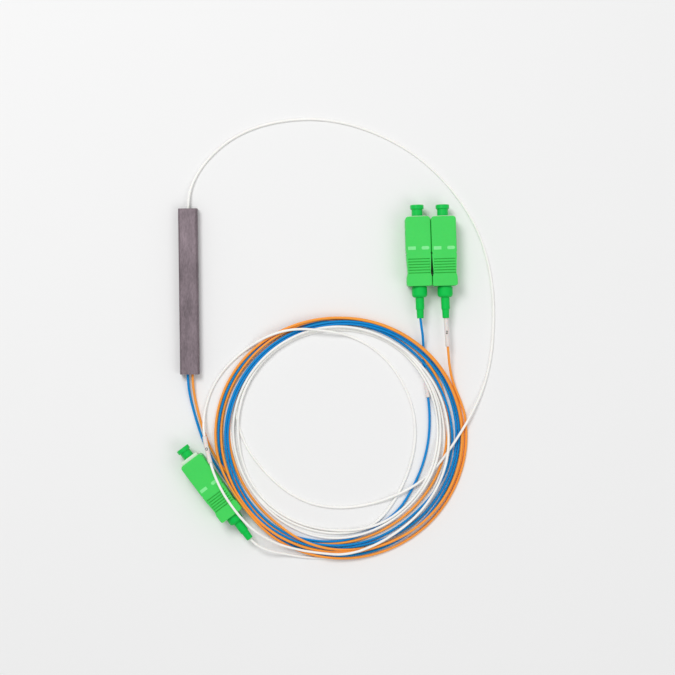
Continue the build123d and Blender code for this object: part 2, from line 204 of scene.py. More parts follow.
WHITE_LOOP = [
    (44.6, -95.2, 0.45), (38.0, -93.9, 0.9), (31.6, -92.0, 2.6), (26.0, -88.9, 5.6),
    (21.1, -84.9, 8.6), (15.6, -78.4, 9.1), (11.0, -71.0, 9.0), (7.6, -62.6, 6.9),
    (4.7, -51.4, 2.4), (4.8, -43.9, 0.45), (7.1, -36.4, 0.45), (10.7, -30.2, 0.45),
    (15.7, -24.7, 0.45), (21.6, -20.2, 0.45), (27.6, -16.8, 0.45), (34.1, -14.6, 0.45),
    (40.9, -13.9, 0.45), (50.6, -15.0, 0.45), (58.9, -16.9, 0.45), (67.5, -21.9, 0.45),
    (74.2, -29.0, 0.45),
]
WHITE_LOOP_END = [
    (79.0, -37.8, 0.45), (81.4, -46.9, 0.45), (81.4, -56.7, 0.45), (78.8, -66.5, 0.45),
    (74.3, -75.9, 0.45), (68.6, -83.5, 0.45), (62.3, -87.5, 0.45),
]
WHITE_END = [
    (53.0, -97.1, 0.45), (46.6, -97.4, 0.45), (40.2, -97.0, 0.45), (34.0, -95.7, 1.2),
    (28.2, -94.4, 3.2), (23.2, -91.9, 4.6),
]

# The wound turns: angle round the coil's middle in degrees, and radius
BLUE_TURNS = [
    (240, 42.8), (270, 42.9), (300, 42.9), (325, 42.7), (345, 43.1), (365, 43.4),
    (390, 43.6), (420, 43.0), (450, 42.1), (480, 41.7), (540, 41.6), (575, 41.5),
    (590, 41.4), (600, 41.0), (630, 40.2), (650, 39.9), (660, 40.5), (675, 41.2),
    (690, 41.5), (700, 41.9), (720, 42.3), (745, 42.6), (780, 42.1), (810, 41.2),
    (840, 40.8), (900, 40.7), (935, 40.1), (960, 39.9), (990, 39.1), (1010, 38.9),
    (1030, 38.5), (1042, 38.7), (1052, 39.7), (1064, 40.7), (1080, 40.8), (1095, 40.5),
    (1110, 40.5), (1140, 41.0), (1170, 42.0), (1200, 43.6), (1230, 44.3), (1260, 44.2),
    (1280, 43.4), (1310, 41.2), (1335, 38.6), (1350, 37.6), (1362, 36.3), (1370, 35.4),
]
ORANGE_TURNS = [
    (230, 41.0), (245, 40.6), (262, 39.0), (275, 38.0), (300, 36.9), (320, 37.0),
    (345, 38.0), (360, 39.0), (390, 41.4), (420, 42.3), (450, 42.8), (480, 42.2),
    (510, 41.2), (540, 40.4), (552, 39.6), (582, 38.6), (600, 38.7), (610, 39.7),
    (635, 40.8), (657, 42.0), (688, 43.8), (705, 44.7), (720, 44.8), (750, 44.6),
    (780, 43.9), (810, 43.4), (850, 43.3), (900, 43.1), (915, 42.6), (930, 42.2),
    (960, 41.8), (985, 41.6), (1005, 41.6), (1020, 42.2), (1040, 43.2), (1060, 44.0),
    (1110, 44.1), (1140, 43.6), (1170, 43.4), (1190, 43.9), (1230, 45.3), (1260, 45.2),
    (1270, 44.8), (1280, 43.7), (1287, 42.9), (1293, 42.5), (1298, 42.4), (1306, 42.9),
    (1315, 43.4), (1340, 43.6), (1380, 44.5), (1420, 45.5),
]
WHITE_TURNS = [
    (130, 39.4), (90, 39.2), (60, 38.7), (30, 37.0), (0, 35.4), (-45, 34.4), (-65, 34.5),
    (-90, 33.7), (-130, 35.0), (-150, 36.0), (-180, 36.8), (-200, 38.2), (-225, 39.3),
    (-270, 39.9), (-310, 38.9), (-335, 37.6), (-360, 36.4), (-405, 35.3), (-435, 35.8),
    (-460, 36.9), (-490, 36.9), (-520, 37.6), (-550, 39.2), (-590, 40.0), (-630, 40.3),
    (-670, 39.3), (-700, 39.3), (-740, 39.4), (-760, 39.5), (-780, 39.8), (-800, 41.3),
    (-810, 42.4),
]
WHITE_LAST_TURN = [
    (-90, 34.8), (-130, 36.0), (-155, 37.5), (-180, 39.5), (-270, 40.6), (-360, 37.9),
    (-410, 40.0), (-450, 43.1),
]

# Which leads lie over which: angle on the turns, and layer in the pile there. The white lead
# changes its layer where nothing lies beside it, on its way through the middle of the coil.
BLUE_LAYERS = [(1080, 3), (1110, 2), (1210, 2), (1255, 0)]
ORANGE_LAYERS = [(570, 1), (595, 6)]
WHITE_LAYERS = [(0, 8)]
WHITE_LAST_LAYERS = [(0, 0.5)]


# Turns of the leads


def on_turn(point, near):
    """A point's angle and radius round the coil, with the angle on the turn nearest to near."""
    x, y = point[0] - COIL_MIDDLE[0], point[1] - COIL_MIDDLE[1]
    angle = math.degrees(math.atan2(y, x))
    return angle + 360 * round((near - angle) / 360), math.hypot(x, y)


def wound(before, marks, layers, after):
    """The points of the turns that lead from one loose stretch, through the marks, to the next."""
    marks = [on_turn(before[-1], marks[0][0]), *marks, on_turn(after[0], marks[-1][0])]
    way = 1 if marks[-1][0] > marks[0][0] else -1
    angles = np.array([way * angle for angle, radius in marks])
    radii = np.array([radius for angle, radius in marks])
    slopes = np.gradient(radii, angles)
    count = round((angles[-1] - angles[0]) * POINTS_PER_TURN / 360)
    step = (angles[-1] - angles[0]) / count
    outward = 1 / math.cos(math.radians(step / 2))
    points = []
    for index in range(1, count):
        angle = angles[0] + index * step
        mark = int(np.searchsorted(angles, angle)) - 1
        gap = angles[mark + 1] - angles[mark]
        share = (angle - angles[mark]) / gap
        radius = outward * (
            (1 + 2 * share) * (1 - share) ** 2 * radii[mark]
            + share * (1 - share) ** 2 * gap * slopes[mark]
            + share ** 2 * (3 - 2 * share) * radii[mark + 1]
            + share ** 2 * (share - 1) * gap * slopes[mark + 1]
        )
        turn = math.radians(way * angle)
        points.append((
            COIL_MIDDLE[0] + radius * math.cos(turn), COIL_MIDDLE[1] + radius * math.sin(turn),
            LEAD_LOWEST, float(np.interp(way * angle, *zip(*layers))),
        ))
    return points


def loose(points, layer):
    """The points of a loose stretch, all in one layer of the pile."""
    return [(*point, layer) for point in points]


def boot_tip(number):
    """Where a lead goes into its plug's boot."""
    x, y, heading = PLUG_PLACES[number]
    turn = math.radians(heading)
    return (x - BOOT_LENGTH * math.cos(turn), y - BOOT_LENGTH * math.sin(turn), PLUG_AXIS_HEIGHT)


def lead_routes():
    """Each lead's points from the tube to its plug, with the layer of the pile each one is in."""
    return {
        "blue": loose(BLUE_START, BLUE_LAYERS[0][1])
        + wound(BLUE_START, BLUE_TURNS, BLUE_LAYERS, BLUE_END)
        + loose(BLUE_END + [boot_tip(1)], BLUE_LAYERS[-1][1]),
        "orange": loose(ORANGE_START, ORANGE_LAYERS[0][1])
        + wound(ORANGE_START, ORANGE_TURNS, ORANGE_LAYERS, ORANGE_END)
        + loose(ORANGE_END + [boot_tip(2)], ORANGE_LAYERS[-1][1]),
        "white": loose(WHITE_START, WHITE_LAYERS[0][1])
        + wound(WHITE_START, WHITE_TURNS, WHITE_LAYERS, WHITE_LOOP)
        + loose(WHITE_LOOP, WHITE_LAYERS[-1][1])
        + loose(WHITE_LOOP_END, WHITE_LAST_LAYERS[0][1])
        + wound(WHITE_LOOP_END, WHITE_LAST_TURN, WHITE_LAST_LAYERS, WHITE_END)
        + loose(WHITE_END + [boot_tip(3)], WHITE_LAST_LAYERS[-1][1]),
    }


class Strand:
    """A lead as it settles: its control points and where its smooth line runs in plan."""

    def __init__(self, points, radius, first_laid_last=False):
        points = np.array(points, float)
        self.points = points[:, :3]
        self.pull = spline_pull(len(points), SAMPLES_PER_POINT)
        self.plan = self.pull @ self.points[:, :2]
        steps = np.hypot(*np.diff(self.plan, axis=0).T)
        self.along = np.concatenate([[0], np.cumsum(steps)])
        laid = self.along[::-1] if first_laid_last else self.along
        self.order = self.pull @ points[:, 3] + laid / SAME_LAYER
        self.radius = np.full(len(self.plan), radius)
        self.nearest = self.pull.argmax(axis=1)
        self.runs = np.hypot(*np.diff(self.points[:, :2], axis=0).T)
        self.free = np.ones(len(points), bool)
        self.free[:POINTS_HELD_AT_START] = self.free[-POINTS_HELD_AT_END:] = False

    def heights(self):
        """How high its smooth line runs at each sample."""
        return self.pull @ self.points[:, 2]

    def thicken(self, middle, length, radius):
        """A sleeve round the lead makes that stretch of it thicker."""
        centre = self.along[np.hypot(*(self.plan - middle[:2]).T).argmin()]
        self.radius[abs(self.along - centre) <= length / 2 + radius] = radius

    def lift(self, wanted, steepest):
        """Raises the points of each stretch that has to go up, with gentle slopes beside it."""
        rise = np.zeros(len(self.points))
        np.maximum.at(rise, self.nearest, wanted)
        heights = self.points[:, 2]
        heights[self.free] += np.minimum(rise, LARGEST_LIFT)[self.free]
        last = len(heights) - 1
        for index in [*range(1, last + 1), *range(last - 1, -1, -1)]:
            for beside in (index - 1, index + 1):
                if 0 <= beside <= last and self.free[index] and self.free[beside]:
                    run = self.runs[min(index, beside)]
                    heights[index] = max(heights[index], heights[beside] - steepest * run)


def spline_pull(count, samples):
    """How much each control point of a smooth line pulls on each sample along it."""
    rows = []
    for middle in range(1, count - 1):
        for share in np.arange(samples) / samples:
            start, hold, end = (1 - share) ** 2, 2 * share * (1 - share), share ** 2
            start_kept = 0 if middle == 1 else start / 2
            end_kept = 0 if middle == count - 2 else end / 2
            row = np.zeros(count)
            row[middle - 1] = start - start_kept
            row[middle] = hold + start_kept + end_kept
            row[middle + 1] = end - end_kept
            rows.append(row)
    rows.append(np.eye(count)[-1])
    return np.array(rows)


def height_on_plug(plan, radius, number):
    """The lowest that a strand may run at each place over a plug's housing."""
    x, y, heading = PLUG_PLACES[number]
    turn = math.radians(heading)
    behind = -(plan - (x, y)) @ (math.cos(turn), math.sin(turn)) - HOUSING_SLID_BACK[number]
    beside = abs((plan - (x, y)) @ (math.sin(turn), -math.cos(turn)))
    past = np.maximum(beside - HOUSING_WIDTH / 2, 0)
    beyond = np.maximum(np.maximum(-behind, behind - HOUSING_LENGTH), 0)
    room = radius ** 2 - past ** 2 - beyond ** 2
    return np.where(room > 0, PLUG_TOP + np.sqrt(np.maximum(room, 0)), 0)


def settle(strands, gap=0.01, steepest=0.45, rounds=200):
    """Lifts each strand just enough that it lies on those laid before it and on the plug."""
    plan = np.concatenate([strand.plan for strand in strands])
    along = np.concatenate([strand.along for strand in strands])
    radius = np.concatenate([strand.radius for strand in strands])
    owner = np.concatenate([[k] * len(strand.plan) for k, strand in enumerate(strands)])
    order = np.concatenate([strand.order for strand in strands])
    tree = KDTree(len(plan))
    for index, (x, y) in enumerate(plan):
        tree.insert((x, y, 0), index)
    tree.balance()
    above, below, need = [], [], []
    reach = 2 * radius.max()
    for index, (x, y) in enumerate(plan):
        for place, other, distance in tree.find_range((x, y, 0), reach):
            apart = radius[index] + radius[other] + gap
            same = owner[index] == owner[other] and abs(along[index] - along[other]) < OWN_REACH
            if distance < apart and order[other] < order[index] and not same:
                above.append(index)
                below.append(other)
                need.append(math.sqrt(apart ** 2 - distance ** 2))
    on_plug = height_on_plug(plan, radius, PLUG_UNDER_LOOP)
    starts = np.cumsum([0] + [len(strand.plan) for strand in strands])
    for _ in range(rounds):
        height = np.concatenate([strand.heights() for strand in strands])
        lack = np.maximum(on_plug + gap - height, 0) * (on_plug > 0)
        np.maximum.at(lack, above, height[below] + need - height[above])
        if lack.max() < gap:
            return
        for k, strand in enumerate(strands):
            strand.lift(lack[starts[k]:starts[k + 1]], steepest)
    raise RuntimeError("the leads don't settle: two of them still run through each other")


# Meshes and finishes


def new_mesh(name, vertices, faces, smooth=True):
    mesh = bpy.data.meshes.new(name)
    mesh.from_pydata([tuple(v) for v in vertices], [], faces)
    mesh.update()
    if smooth:
        mesh.shade_smooth()
    piece = bpy.data.objects.new(name, mesh)
    bpy.context.scene.collection.objects.link(piece)
    return piece


def lead_curve(name, points, thickness):
    """A lead as one smooth NURBS line with a round section."""
    curve = bpy.data.curves.new(name, "CURVE")
    curve.dimensions = "3D"
    curve.resolution_u = LEAD_STEPS
    spline = curve.splines.new("NURBS")
    spline.points.add(len(points) - 1)
    for point, place in zip(spline.points, points):
        point.co = (*(MM * value for value in place), 1)
        point.radius = thickness / 2
    spline.order_u = 3
    spline.use_endpoint_u = True
    piece = bpy.data.objects.new(name, curve)
    bpy.context.scene.collection.objects.link(piece)
    return piece


def line_of(piece):
    """The points along a lead's own smooth line, in millimetres, and how far along each one is."""
    thickness, piece.data.bevel_depth = piece.data.bevel_depth, 0
    bpy.context.view_layer.update()
    mesh = bpy.data.meshes.new_from_object(piece)
    line = np.array([vertex.co for vertex in mesh.vertices]) / MM
    bpy.data.meshes.remove(mesh)
    piece.data.bevel_depth = thickness
    steps = np.linalg.norm(np.diff(line, axis=0), axis=1)
    return line, np.concatenate([[0], np.cumsum(steps)])


def along_line(line, along, distance):
    """Where the line is at a distance along it, its direction, and a sideways direction."""
    place = Vector([np.interp(distance, along, line[:, axis]) for axis in range(3)])
    ahead = Vector([np.interp(distance + LINE_STEP, along, line[:, axis]) for axis in range(3)])
    back = Vector([np.interp(distance - LINE_STEP, along, line[:, axis]) for axis in range(3)])
    direction = (ahead - back).normalized()
    sideways = direction.cross(Vector((0, 0, 1))).normalized()
    return place, direction, sideways


def node_setup(name):
    material = bpy.data.materials.new(name)
    material.use_nodes = True
    nodes, links = material.node_tree.nodes, material.node_tree.links
    return material, nodes, links, nodes["Principled BSDF"]


def linear(colour):
    """A colour as the screen shows it, 0 to 1, turned into light."""
    return tuple(
        c / 12.92 if c <= 0.04045 else ((c + 0.055) / 1.055) ** 2.4 for c in colour[:3]
    ) + (1.0,)


def finish(name, colour, spread=0.05, grain=900.0, roughness=0.4, bump=0.02, stretch=(1, 1, 1),
           metallic=0.0, coat=0.0, subsurface=0.0, clear=0.0, specular=0.5):
    """A finish whose colour, shine and surface vary with a grain: grain is in waves a metre."""
    material, nodes, links, shader = node_setup(name)
    coordinates = nodes.new("ShaderNodeTexCoord")
    mapping = nodes.new("ShaderNodeMapping")
    mapping.inputs["Scale"].default_value = stretch
    links.new(coordinates.outputs["Object"], mapping.inputs["Vector"])
    fine = nodes.new("ShaderNodeTexNoise")
    fine.inputs["Scale"].default_value = grain
    fine.inputs["Detail"].default_value = 5
    broad = nodes.new("ShaderNodeTexNoise")
    broad.inputs["Scale"].default_value = grain / BROAD_GRAIN
    broad.inputs["Detail"].default_value = 2
    for noise in (fine, broad):
        links.new(mapping.outputs["Vector"], noise.inputs["Vector"])
    both = nodes.new("ShaderNodeMath")
    both.operation = "MULTIPLY_ADD"
    both.inputs[1].default_value = 0.5
    links.new(fine.outputs["Fac"], both.inputs[0])
    half = nodes.new("ShaderNodeMath")
    half.operation = "MULTIPLY"
    half.inputs[1].default_value = 0.5
    links.new(broad.outputs["Fac"], half.inputs[0])
    links.new(half.outputs[0], both.inputs[2])
    ramp = nodes.new("ShaderNodeValToRGB")
    base = linear(colour)
    dark, light = ramp.color_ramp.elements
    dark.position, light.position = COLOUR_RUN
    dark.color = tuple(c * (1 - spread) for c in base[:3]) + (1,)
    light.color = tuple(min(1, c * (1 + spread)) for c in base[:3]) + (1,)
    links.new(both.outputs[0], ramp.inputs["Fac"])
    links.new(ramp.outputs["Color"], shader.inputs["Base Color"])
    shine = nodes.new("ShaderNodeMapRange")
    shine.inputs["To Min"].default_value = max(LEAST_ROUGHNESS, roughness - ROUGHNESS_STRAY)
    shine.inputs["To Max"].default_value = min(1, roughness + ROUGHNESS_STRAY)
    links.new(fine.outputs["Fac"], shine.inputs["Value"])
    links.new(shine.outputs["Result"], shader.inputs["Roughness"])
    relief = nodes.new("ShaderNodeBump")
    relief.inputs["Strength"].default_value = bump
    relief.inputs["Distance"].default_value = RELIEF_DEPTH
    links.new(fine.outputs["Fac"], relief.inputs["Height"])
    links.new(relief.outputs["Normal"], shader.inputs["Normal"])
    shader.inputs["Metallic"].default_value = metallic
    shader.inputs["Coat Weight"].default_value = coat
    shader.inputs["Specular IOR Level"].default_value = specular
    shader.inputs["Subsurface Weight"].default_value = subsurface
    shader.inputs["Subsurface Scale"].default_value = LIGHT_DEPTH
    shader.inputs["Transmission Weight"].default_value = clear
    return material


def dress(piece, material):
    piece.data.materials.clear()
    piece.data.materials.append(material)


def add_to_object(piece, body, slot, *nodes):
    """Puts a piece on a body, in place of the frame's nodes that it stands for. The slot is not
    used.
    """
    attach(piece, body)
    if nodes:
        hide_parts(*nodes)


# What a user would change


class SplitterLeads(bpy.types.PropertyGroup):
    thickness: bpy.props.FloatProperty(
        name="Lead thickness", description="Diameter of each buffered fibre",
        default=0.0009, min=0.0003, max=0.003, precision=5, unit="LENGTH")
    white: bpy.props.FloatVectorProperty(
        name="Input lead", description="Colour of the input lead's jacket",
        default=(0.98, 0.975, 0.96), min=0, max=1, subtype="COLOR_GAMMA")
    blue: bpy.props.FloatVectorProperty(
        name="First output lead", description="Colour of the first output lead's jacket",
        default=(0.0, 0.54, 0.825), min=0, max=1, subtype="COLOR_GAMMA")
    orange: bpy.props.FloatVectorProperty(
        name="Second output lead", description="Colour of the second output lead's jacket",
        default=(1.0, 0.63, 0.25), min=0, max=1, subtype="COLOR_GAMMA")
    sleeve: bpy.props.FloatVectorProperty(
        name="Number sleeves", description="Colour of the sleeves threaded on the leads",
        default=(0.905, 0.865, 0.85), min=0, max=1, subtype="COLOR_GAMMA")
    sleeve_length: bpy.props.FloatProperty(
        name="Sleeve length", description="Length of each number sleeve",
        default=0.0103, min=0.004, max=0.02, precision=4, unit="LENGTH")
    sleeve_width: bpy.props.FloatProperty(
        name="Sleeve width", description="Outside diameter of each number sleeve",
        default=0.0016, min=0.001, max=0.004, precision=4, unit="LENGTH")


class SplitterPlugs(bpy.types.PropertyGroup):
    housing: bpy.props.FloatVectorProperty(
        name="Housing", description="Colour of the plugs' grip housings",
        default=(0.26, 0.84, 0.36), min=0, max=1, subtype="COLOR_GAMMA")
    inner: bpy.props.FloatVectorProperty(
        name="Cap and boot", description="Colour of the dust caps and the boots",
        default=(0.0, 0.77, 0.3), min=0, max=1, subtype="COLOR_GAMMA")
    # The inner frames' pale, near-white colour is partly a painted highlight: it matches the
    # bright rim of light along each plug's front edge.
    frame: bpy.props.FloatVectorProperty(
        name="Inner frame", description="Colour of the inner frames",
        default=(0.86, 0.94, 0.85), min=0, max=1, subtype="COLOR_GAMMA")
    mark: bpy.props.FloatVectorProperty(
        name="Depth marks", description="Colour of the two bars on each housing",
        default=(0.5, 0.92, 0.57), min=0, max=1, subtype="COLOR_GAMMA")
    spring_turns: bpy.props.IntProperty(
        name="Spring turns", description="Turns of the spring behind each ferrule",
        default=7, min=3, max=12)


class SplitterTube(bpy.types.PropertyGroup):
    steel: bpy.props.FloatVectorProperty(
        name="Steel", description="Colour of the splitter's steel tube",
        default=(0.485, 0.435, 0.46), min=0, max=1, subtype="COLOR_GAMMA")
    grain: bpy.props.FloatProperty(
        name="Grain", description="Waves a metre in the steel's grain, across the tube",
        default=2600, min=200, max=9000)


class SplitterStage(bpy.types.PropertyGroup):
    floor: bpy.props.FloatVectorProperty(
        name="Floor", description="Colour of the plain floor",
        default=(0.945, 0.945, 0.945), min=0, max=1, subtype="COLOR_GAMMA")
    camera_height: bpy.props.FloatProperty(
        name="Camera height", description="Height of the camera over the floor",
        default=0.6, min=0.2, max=3, unit="LENGTH")
    camera_turn: bpy.props.FloatProperty(
        name="Camera turn", description="How far the camera is turned about its own axis",
        default=math.radians(-0.73), subtype="ANGLE")
    view_width: bpy.props.FloatProperty(
        name="View width", description="Width of floor that the camera sees",
        default=0.24545, min=0.05, max=1, precision=5, unit="LENGTH")
    lamp_power: bpy.props.FloatProperty(
        name="Lamp power", description="Power of the main soft lamp, in watts",
        default=4.6, min=0, max=50)
    sky: bpy.props.FloatProperty(
        name="Sky", description="Strength of the even light from all round",
        default=0.52, min=0, max=2)


# One operator for each group of pieces


class SPLITTER_OT_stage(bpy.types.Operator):
    """Add the plain floor, the soft lamps and the camera above the part"""
    bl_idname = "splitter.stage"
    bl_label = "Stage and camera"

    def execute(self, context):
        scene = context.scene
        stage = scene.splitter_stage
        middle = Vector(STAGE_MIDDLE)
        half = FLOOR_HALF
        corners = [(-half, -half, 0), (half, -half, 0), (half, half, 0), (-half, half, 0)]
        floor = new_mesh("floor", corners, [(0, 1, 2, 3)], smooth=False)
        dress(floor, finish("floor_paper", stage.floor, spread=0.004, grain=40, roughness=0.9,
                            bump=0.0))
        world = bpy.data.worlds.new("even_light")
        world.use_nodes = True
        world.node_tree.nodes["Background"].inputs["Strength"].default_value = stage.sky
        world.node_tree.nodes["Background"].inputs["Color"].default_value = (1, 1, 1, 1)
        scene.world = world
        for name, place, size, share in LAMPS:
            light = bpy.data.lights.new(name, "AREA")
            light.shape = "DISK"
            light.size = size
            light.energy = stage.lamp_power * share
            lamp = bpy.data.objects.new(name, light)
            scene.collection.objects.link(lamp)
            lamp.location = middle + Vector(place)
            lamp.rotation_euler = (middle - lamp.location).to_track_quat("-Z", "Y").to_euler()
        camera_data = bpy.data.cameras.new("camera")
        camera_data.sensor_width = 36
        camera_data.lens = camera_data.sensor_width * stage.camera_height / stage.view_width
        camera_data.clip_start = 0.01
        camera = bpy.data.objects.new("camera", camera_data)
        scene.collection.objects.link(camera)
        camera.location = middle + Vector((0, 0, stage.camera_height))
        camera.rotation_euler = (0, 0, stage.camera_turn)
        scene.camera = camera
        scene.view_settings.view_transform = "Standard"
        return {"FINISHED"}


class SPLITTER_OT_leads(bpy.types.Operator):
    """Add the three leads, each one smooth line from the tube round the coil to its plug"""
    bl_idname = "splitter.leads"
    bl_label = "Leads"

    def execute(self, context):
        leads = context.scene.splitter_leads
        radius = leads.thickness / MM / 2
        routes = lead_routes()
        strands = {
            name: Strand(points, radius, first_laid_last=name == "blue")
            for name, points in routes.items()
        }
        for name, (_, number) in LEADS.items():
            low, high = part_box(f"number_sleeve_{number}")
            strands[name].thicken(
                (low + high) / 2 / MM, leads.sleeve_length / MM, leads.sleeve_width / MM / 2)
        settle(list(strands.values()))
        for name, (nodes, _) in LEADS.items():
            piece = lead_curve(f"{name}_fibre", strands[name].points, leads.thickness)
            line, along = line_of(piece)
            piece.data.bevel_depth = 1
            piece.data.bevel_resolution = LEAD_SECTION_STEPS
            piece.data.use_fill_caps = True
            dress(piece, finish(
                f"{name}_jacket", getattr(leads, name), spread=0.05, grain=1400, roughness=0.5,
                bump=0.12, subsurface=0.02, specular=0.2))
            add_to_object(piece, "splitter", f"fibre_{name}", "fibre_coil", *nodes)
            piece["length"] = float(along[-1])
        return {"FINISHED"}


class SPLITTER_OT_sleeves(bpy.types.Operator):
    """Add the sleeve on each lead near its plug, with its printed number"""
    bl_idname = "splitter.sleeves"
    bl_label = "Number sleeves"

    def execute(self, context):
        leads = context.scene.splitter_leads
        soft = finish("sleeve_tube", leads.sleeve, spread=0.03, grain=1600, roughness=0.5,
                      bump=0.08, subsurface=0.2)
        ink = finish("sleeve_ink", (0.1, 0.1, 0.11), spread=0.1, grain=3000, roughness=0.5)
        outer = leads.sleeve_width / MM / 2
        inner = outer - SLEEVE_WALL
        half = leads.sleeve_length / MM / 2
        ends = half - SLEEVE_EDGE
        outline = [(-half, inner + SLEEVE_EDGE), (-half, outer - SLEEVE_EDGE)]
        outline += [(x, outer) for x in np.linspace(-ends, ends, SLEEVE_ROWS)]
        outline += [(half, outer - SLEEVE_EDGE), (half, inner + SLEEVE_EDGE)]
        outline += [(x, inner) for x in np.linspace(ends, -ends, SLEEVE_ROWS)]
        for name, (_, number) in LEADS.items():
            line, along = line_of(bpy.data.objects[f"{name}_fibre"])
            low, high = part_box(f"number_sleeve_{number}")
            centre = np.array((low + high) / 2 / MM)
            distance = np.linalg.norm(line[:, :2] - centre[:2], axis=1)
            distance[along <= along[-1] / 2] = np.inf
            middle = along[distance.argmin()]
            vertices, faces = [], []
            for x, radius in outline:
                place, direction, sideways = along_line(line, along, middle + x)
                up = sideways.cross(direction)
                for k in range(SLEEVE_SIDES):
                    turn = 2 * math.pi * k / SLEEVE_SIDES
                    spot = place + radius * (math.cos(turn) * sideways + math.sin(turn) * up)
                    vertices.append(spot * MM)
            for row in range(len(outline)):
                here, there = row * SLEEVE_SIDES, (row + 1) % len(outline) * SLEEVE_SIDES
                for k in range(SLEEVE_SIDES):
                    after = (k + 1) % SLEEVE_SIDES
                    faces.append((here + k, here + after, there + after, there + k))
            sleeve = new_mesh(f"number_sleeve_{number}_soft", vertices, faces)
            dress(sleeve, soft)
            add_to_object(sleeve, "splitter", "sleeve_white", f"number_sleeve_{number}")
            for index, stroke in enumerate(STROKES[number]):
                self.print_stroke(
                    f"number_{number}_stroke_{index + 1}", stroke, line, along, middle, outer, ink)
        return {"FINISHED"}

    def print_stroke(self, name, stroke, line, along, middle, outer, ink):
        """One printed line of a number, laid round the sleeve's top."""
        curve = bpy.data.curves.new(name, "CURVE")
        curve.dimensions = "3D"
        spline = curve.splines.new("POLY")
        spots = []
        for (x0, y0), (x1, y1) in zip(stroke, stroke[1:]):
            spots += [
                (x0 + (x1 - x0) * k / STROKE_STEPS, y0 + (y1 - y0) * k / STROKE_STEPS)
                for k in range(STROKE_STEPS)
            ]
        spots.append(stroke[-1])
        spline.points.add(len(spots) - 1)
        for point, (x, y) in zip(spline.points, spots):
            place, direction, sideways = along_line(line, along, middle + x)
            up = sideways.cross(direction)
            turn = math.pi / 2 - y / outer
            spot = place + outer * (math.cos(turn) * sideways + math.sin(turn) * up)
            point.co = (*(spot * MM), 1)
            point.radius = STROKE_RADIUS * MM
        curve.bevel_depth = 1
        curve.bevel_resolution = 1
        piece = bpy.data.objects.new(name, curve)
        bpy.context.scene.collection.objects.link(piece)
        dress(piece, ink)
        add_to_object(piece, "splitter", "sleeve_white")


def plug_frame(number):
    """What carries a plug to its place from where its axis is Y and its front face is at zero."""
    x, y, heading = PLUG_PLACES[number]
    place = Matrix.Translation(Vector((x, y, PLUG_AXIS_HEIGHT)) * MM)
    return place @ Matrix.Rotation(math.radians(heading - 90), 4, "Z")


class SPLITTER_OT_springs(bpy.types.Operator):
    """Add the spring behind each ferrule, at one fixed length"""
    bl_idname = "splitter.springs"
    bl_label = "Ferrule springs"

    def execute(self, context):
        plugs = context.scene.splitter_plugs
        wire = finish("spring_wire", (0.7, 0.7, 0.7), spread=0.1, grain=5000, roughness=0.3,
                      bump=0.1, metallic=1.0)
        steps = plugs.spring_turns * SPRING_STEPS_PER_TURN
        sides = SPRING_WIRE_SIDES
        for number in PLUG_PLACES:
            vertices, faces = [], []
            for step in range(steps + 1):
                turn = 2 * math.pi * step / SPRING_STEPS_PER_TURN
                y = -SPRING_FRONT - (SPRING_REAR - SPRING_FRONT) * step / steps
                out = Vector((math.cos(turn), 0, math.sin(turn)))
                for k in range(sides):
                    angle = 2 * math.pi * k / sides
                    spot = out * (SPRING_RADIUS + SPRING_WIRE_RADIUS * math.cos(angle))
                    spot += Vector((0, y + SPRING_WIRE_RADIUS * math.sin(angle), 0))
                    vertices.append(spot * MM)
            for step in range(steps):
                for k in range(sides):
                    a, b = step * sides + k, step * sides + (k + 1) % sides
                    faces.append((a, b, b + sides, a + sides))
            faces.append(tuple(range(sides))[::-1])
            faces.append(tuple(range(steps * sides, (steps + 1) * sides)))
            piece = new_mesh(f"ferrule_spring_{number}_wire", vertices, faces)
            piece.data.transform(plug_frame(number))
            dress(piece, wire)
            add_to_object(piece, "splitter", "spring_steel", f"ferrule_spring_{number}")
            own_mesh(piece)
        return {"FINISHED"}


